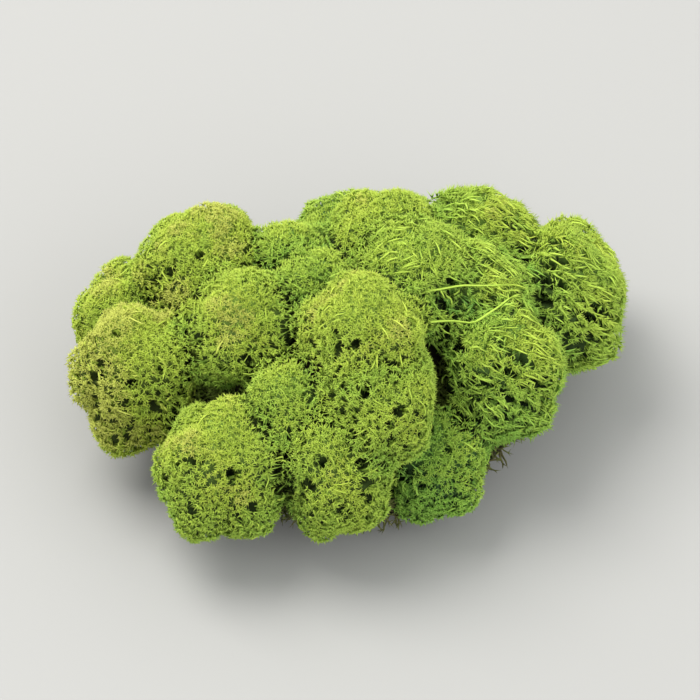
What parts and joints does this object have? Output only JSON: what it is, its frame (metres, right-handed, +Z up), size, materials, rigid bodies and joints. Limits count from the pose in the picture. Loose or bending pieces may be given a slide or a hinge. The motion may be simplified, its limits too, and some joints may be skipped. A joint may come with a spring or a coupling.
{
  "type": "reindeer moss clump",
  "caption": "Clump of preserved lime-green reindeer moss: rounded heads of fine forked branchlets crowded on a tangle of old stems, lying on a small flat spot.",
  "frame": {"origin": "middle of the small flat spot that the clump rests on", "axes": "+Z up, X along the clump's length, +Y away from the viewer of the picture"},
  "size_m": [0.0973, 0.0738, 0.05],
  "materials": {
    "lime_green_moss": "matt, soft, finely branched preserved moss",
    "yellow_green_moss": "matt, soft, finely branched preserved moss, yellower",
    "deep_green_moss": "matt, soft, finely branched preserved moss, darker",
    "old_stems": "matt, dry, brownish dead stems"
  },
  "bodies": {
    "root": {"head_left": "yellow_green_moss", "head_left_back": "lime_green_moss", "head_upper_left": "yellow_green_moss", "head_small_upper": "lime_green_moss", "head_mid_left": "yellow_green_moss", "head_middle": "lime_green_moss", "head_upper": "lime_green_moss", "head_crown_back": "lime_green_moss", "head_crown": "yellow_green_moss", "head_front": "yellow_green_moss", "head_small_front": "lime_green_moss", "head_front_left": "lime_green_moss", "head_front_low": "lime_green_moss", "head_shoulder": "lime_green_moss", "head_right": "lime_green_moss", "head_upper_right": "lime_green_moss", "head_far_right": "lime_green_moss", "head_front_right": "deep_green_moss", "head_back_left": "deep_green_moss", "head_back": "deep_green_moss", "head_back_right": "deep_green_moss", "head_right_back": "deep_green_moss", "old_stems": "old_stems"}
  },
  "joints": []
}
